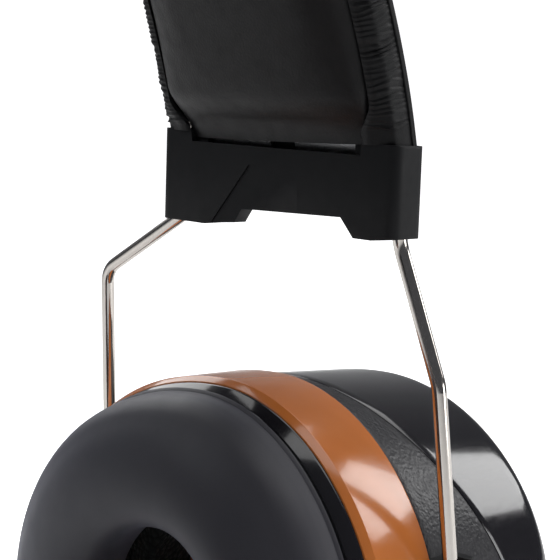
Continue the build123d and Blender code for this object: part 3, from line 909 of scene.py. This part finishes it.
# ================================================================================================
# End blocks
# ================================================================================================
BLOCK_IN, BLOCK_OUT = block_low.x, block_high.x
EAR_W, EAR_H = 8.4, 2.2
LIP_X = BLOCK_X - 3.15


def cut(obj, cutter, operation="DIFFERENCE"):
    """Boolean of obj with cutter, applied; the cutter is removed."""
    modifier = obj.modifiers.new("cut", "BOOLEAN")
    modifier.operation = operation
    modifier.solver = "EXACT"
    modifier.object = cutter
    graph = bpy.context.evaluated_depsgraph_get()
    mesh = bpy.data.meshes.new_from_object(obj.evaluated_get(graph))
    obj.modifiers.remove(modifier)
    old = obj.data
    obj.data = mesh
    bpy.data.meshes.remove(old)
    bpy.data.objects.remove(cutter)


def prism(outline, low, high, axis="X"):
    """Solid from an outline of (y, z) between two x, or of (x, y) between two z."""
    if axis == "X":
        rings = [[(x, y, z) for y, z in outline] for x in (low, high)]
    else:
        rings = [[(x, y, z) for x, y in outline] for z in (low, high)]
    points, faces = capped(rings)
    return mesh_object("prism", points, faces, block_look)


def rod(start, direction, radius, length, steps=40):
    """Round rod from start along direction."""
    w = Vector(direction).normalized()
    u = w.cross(Vector((0, 1, 0.01))).normalized()
    v = w.cross(u)
    turns = [2 * pi * i / steps for i in range(steps)]
    rings = []
    for reach in (0, length):
        end = Vector(start) + w * reach
        rings.append([end + (u * cos(t) + v * sin(t)) * radius for t in turns])
    points, faces = capped(rings)
    return mesh_object("rod", points, faces, block_look)


def bevel(obj, width, steps, angle=30):
    """Rounds the edges that turn by more than angle degrees, applied."""
    modifier = obj.modifiers.new("bevel", "BEVEL")
    modifier.width = width * MM
    modifier.segments = steps
    modifier.limit_method = "ANGLE"
    modifier.angle_limit = radians(angle)
    modifier.use_clamp_overlap = True
    graph = bpy.context.evaluated_depsgraph_get()
    mesh = bpy.data.meshes.new_from_object(obj.evaluated_get(graph))
    obj.modifiers.remove(modifier)
    obj.data = mesh


NOTCH = ((-20.0, 0.0), (-17.0, 3.5), (7.3, 3.4), (9.2, 0.7))
outline = [
    (-BLOCK_HALF, BLOCK_BOTTOM + 0.4),
    (-BLOCK_HALF, BLOCK_TOP - TOP_FALL - 0.35),
    (-BLOCK_HALF + 0.5, BLOCK_TOP - TOP_FALL),
    (BLOCK_HALF - 0.5, BLOCK_TOP),
    (BLOCK_HALF, BLOCK_TOP - 0.35),
    (BLOCK_HALF, BLOCK_BOTTOM + 0.3),
    (17.0, BLOCK_BOTTOM - 0.05),
    (13.8, BLOCK_BOTTOM + 0.35),
]
outline += [(y, BLOCK_BOTTOM + z) for y, z in reversed(NOTCH)]
outline += [(-24.0, BLOCK_BOTTOM - 0.1)]
plan = rounded(
    [
        (BLOCK_IN, -BLOCK_HALF, 2.4),
        (BLOCK_OUT, -BLOCK_HALF, 2.4),
        (BLOCK_OUT, BLOCK_HALF, 2.4),
        (BLOCK_IN, BLOCK_HALF, 2.4),
    ],
    steps=7,
)
block = prism(outline, BLOCK_IN - 1, BLOCK_OUT + 1)
cut(block, prism(plan, BLOCK_BOTTOM - 2, BLOCK_TOP + 2, "Z"), "INTERSECT")
recess = BLOCK_HALF - EAR_W
cut(
    block,
    prism(
        [
            (-recess, top_at(-recess) - EAR_H),
            (recess, top_at(recess) - EAR_H),
            (recess + 0.6, BLOCK_TOP + 1),
            (-recess - 0.6, BLOCK_TOP + 1),
        ],
        BLOCK_IN - 1,
        LIP_X,
    ),
)
# the notch is wider behind its inner wall
INNER_WALL_X = BLOCK_X - 1.6
deep = [
    (INNER_WALL_X, -20.0),
    (BLOCK_OUT + 1, -20.0),
    (BLOCK_OUT + 1, 17.5),
    (INNER_WALL_X, 17.5),
]
cut(block, prism(deep, BLOCK_BOTTOM - 2, BLOCK_BOTTOM + 3.5, "Z"))
bevel(block, 0.45, 3)
# plain shallow step on the inner face: deepest along its slanting edge, running out flush
low, high = BLOCK_BOTTOM - 1.2, BLOCK_BOTTOM + 11.7
wedge = [
    (BLOCK_IN - 1, 16.5, low),
    (BLOCK_IN - 1, 5.8, high),
    (BLOCK_IN - 1, -8.4, high - 0.4),
    (BLOCK_IN - 1, -8.4, low),
    (BLOCK_IN + 0.30, 16.5, low),
    (BLOCK_IN + 0.30, 5.8, high),
    (BLOCK_IN - 0.02, -8.4, high - 0.4),
    (BLOCK_IN - 0.02, -8.4, low),
]
wedge_faces = [(0, 1, 2, 3), (4, 5, 6, 7), (0, 1, 5, 4), (1, 2, 6, 5), (2, 3, 7, 6), (3, 0, 4, 7)]
cut(block, mesh_object("wedge", wedge, wedge_faces, block_look))
# bores and the rear wire's open mouth
WIRE_LEAN = radians(13)
FRONT_BORE_Y, REAR_BORE_Y, BORE_R = -25.9, 23.5, 1.5
MOUTH_HALF, MOUTH_H = 1.9, 6.2
STRIP_SLOT_HALF = 18.3
bore_axis = (-sin(WIRE_LEAN), 0, cos(WIRE_LEAN))
for bore_y in (FRONT_BORE_Y, REAR_BORE_Y):
    start = Vector((BLOCK_X + 1, bore_y, BLOCK_BOTTOM)) - Vector(bore_axis) * 10
    cut(block, rod(start, bore_axis, BORE_R, 50))
mouth_x = BLOCK_X + 1.2 - 3.5 * tan(WIRE_LEAN)
cut(
    block,
    prism(
        [
            (mouth_x - MOUTH_HALF, REAR_BORE_Y),
            (mouth_x + MOUTH_HALF, REAR_BORE_Y),
            (mouth_x + MOUTH_HALF, 40),
            (mouth_x - MOUTH_HALF, 40),
        ],
        BLOCK_BOTTOM - 2,
        BLOCK_BOTTOM + MOUTH_H,
        "Z",
    ),
)
# slot for the strips
slot = [
    (BLOCK_X - 4.1, -STRIP_SLOT_HALF),
    (BLOCK_X - 0.8, -STRIP_SLOT_HALF),
    (BLOCK_X - 0.8, STRIP_SLOT_HALF),
    (BLOCK_X - 4.1, STRIP_SLOT_HALF),
]
cut(block, prism(slot, BLOCK_TOP - 9, BLOCK_TOP + 2, "Z"))
finish_mesh(block.data, block_look)
pair(block, "block_body", ["end_block"], "arm")

# ================================================================================================
# Fasteners
# ================================================================================================


def fork(side):
    """Fastener for a wire's end: rounded cheeks with a flared slot, on a base in the shell."""
    out, neck, base = 48.0, 45.35, 38.0
    z0, z1 = pivot.z - 8.0, pivot.z + 7.2
    cheek, half_height = 4.6, 7.6
    front = rounded(
        [
            (LEG_X - cheek, z0, 2.2),
            (LEG_X + cheek, z0, 2.2),
            (LEG_X + cheek, z1, 1.2),
            (LEG_X - cheek, z1, 1.2),
        ],
        steps=6,
    )
    rings = []
    for y, shrink in ((neck, 0.0), (out - 0.7, 0.0), (out - 0.2, 0.25), (out, 0.8)):
        ring = []
        for x, z in front:
            dx, dz = x - LEG_X, z - (z0 + z1) / 2
            ring.append(
                (
                    LEG_X + dx * (1 - shrink / cheek),
                    CUP_Y + side * y,
                    (z0 + z1) / 2 + dz * (1 - shrink / half_height),
                )
            )
        rings.append(ring)
    points, faces = capped(rings)
    body = mesh_object("fork", points, faces, fastener_look)
    foot_in, foot_out = LEG_X - 2.2, LEG_X + 5.4
    y0, y1 = CUP_Y + side * base, CUP_Y + side * (neck + 0.5)
    foot = prism([(foot_in, y0), (foot_out, y0), (foot_out, y1), (foot_in, y1)], z0, z1, "Z")
    cut(body, foot, "UNION")
    slot_floor, pin_start, pin_bore = 43.2, 38.2, 1.42
    low, wide = 1.5, 3.45
    slot = [
        (LEG_X - low, pivot.z - 1.65),
        (LEG_X - low - 0.15, pivot.z),
        (LEG_X - wide, z1 + 1),
        (LEG_X + wide, z1 + 1),
        (LEG_X + low + 0.15, pivot.z),
        (LEG_X + low, pivot.z - 1.65),
    ]
    rings = [[(x, CUP_Y + side * y, z) for x, z in slot] for y in (slot_floor, 60)]
    points, faces = capped(rings)
    cut(body, mesh_object("slot", points, faces, fastener_look))
    cut(body, rod((LEG_X, CUP_Y + side * pin_start, pivot.z), (0, side, 0), pin_bore, 8))
    bevel(body, 0.25, 2, 40)
    finish_mesh(body.data, fastener_look)
    return body


pair(fork(-1), "front_fork", ["front_fastener"], "cup")
pair(fork(1), "rear_fork", ["rear_fastener"], "cup")

# ================================================================================================
# CAD nodes that stay, with their materials
# ================================================================================================
KEPT = {
    "front_wire": wire_look,
    "rear_wire": wire_look,
    "wire_stops": steel_look,
    "strip_pins": steel_look,
    "shell_gasket": rubber_look,
}
for side in SIDES:
    for piece, look in KEPT.items():
        node = frame["nodes"][f"{side}_{piece}"]
        for place in node.material_slots:
            place.material = look

# ================================================================================================
# Studio
# ================================================================================================


def pale_floor_material():
    """White sweep; its own glow is seen by the camera alone, so it lights nothing."""
    look = Look("pale_floor", (0.92, 0.92, 0.92), 0.9)
    look.bump(look.noise(40, 2), 0.1, 0.1)
    look.shader.inputs["Emission Color"].default_value = (0.9, 0.9, 0.9, 1)
    seen = look.nodes.new("ShaderNodeLightPath").outputs["Is Camera Ray"]
    look.links.new(seen, look.shader.inputs["Emission Strength"])
    return look.material


# the floor and its sweep, in metres: (back, up) along its length
FLOOR_Z = -0.235
SWEEP_START, SWEEP_R = 2.2, 1.2
floor_points = []
rows = [(-6.0, 0.0), (SWEEP_START, 0.0)]
for k in range(1, 9):
    bend = k * pi / 16
    rows.append((SWEEP_START + SWEEP_R * sin(bend), SWEEP_R * (1 - cos(bend))))
rows.append((3.4, 6.0))
for back, up in rows:
    for across in (-8.0, 8.0):
        floor_points.append((across, back, FLOOR_Z + up))
floor_mesh = bpy.data.meshes.new("studio_floor")
floor_mesh.from_pydata(
    floor_points, [], [(2 * k, 2 * k + 1, 2 * k + 3, 2 * k + 2) for k in range(len(rows) - 1)]
)
floor_mesh.shade_smooth()
floor_mesh.materials.append(pale_floor_material())
floor = bpy.data.objects.new("studio_floor", floor_mesh)
floor.rotation_euler = (0, 0, radians(-48))
bpy.context.scene.collection.objects.link(floor)

world = bpy.data.worlds.new("studio")
bpy.context.scene.world = world
world.use_nodes = True
tree = world.node_tree
background = tree.nodes["Background"]
rays = tree.nodes.new("ShaderNodeLightPath")
mix = tree.nodes.new("ShaderNodeMix")
mix.data_type = "RGBA"
mix.inputs["A"].default_value = (0.075, 0.077, 0.085, 1)
mix.inputs["B"].default_value = (1, 1, 1, 1)
tree.links.new(rays.outputs["Is Camera Ray"], mix.inputs["Factor"])
tree.links.new(mix.outputs["Result"], background.inputs["Color"])

cup = Vector((LEG_X, CUP_Y, CUP_Z)) * MM


def softbox(name, toward, distance, width, height, radiance, color=(1, 1, 1)):
    """Rectangular soft light seen from the cup in a direction, aimed at the cup."""
    light = bpy.data.lights.new(name, "AREA")
    light.shape = "RECTANGLE"
    light.size, light.size_y = width, height
    light.energy = radiance * pi * width * height
    light.color = color
    lamp = bpy.data.objects.new(name, light)
    lamp.location = cup + Vector(toward).normalized() * distance
    lamp.rotation_euler = (lamp.location - cup).to_track_quat("Z", "Y").to_euler()
    bpy.context.scene.collection.objects.link(lamp)


softbox("outer_box", (0.787, -0.41, 0.462), 1.5, 0.54, 0.52, 5.2)
softbox("inner_box", (-0.75, 0.23, 0.63), 1.0, 0.6, 0.5, 2.2, (0.95, 0.97, 1.0))
softbox("top_box", (0.15, -0.1, 1.0), 1.8, 2.2, 2.2, 1.9)
softbox("front_box", (0.5, -1.0, 0.05), 1.6, 0.6, 0.6, 4.0)
softbox("back_light", (0.5, 1.3, 0.9), 2.2, 1.4, 1.0, 3.0)

camera_data = bpy.data.cameras.new("camera")
camera_data.lens = 88.83
camera_data.sensor_width = 36
camera_data.clip_start = 0.01
camera = bpy.data.objects.new("camera", camera_data)
AZIMUTH, ELEVATION, ROLL = -48.32, 6.45, 1.93         # degrees
turn = Matrix.Rotation(radians(AZIMUTH), 4, "Z")
turn = turn @ Matrix.Rotation(radians(90 - ELEVATION), 4, "X")
turn = turn @ Matrix.Rotation(radians(ROLL), 4, "Z")
seat = Vector((LEG_X, 0, pivot.z)) + Vector((-197.84, -172.32, 82.86))
camera.matrix_world = Matrix.Translation(seat * MM) @ turn
bpy.context.scene.collection.objects.link(camera)
bpy.context.scene.camera = camera
bpy.context.scene.view_settings.view_transform = "Standard"
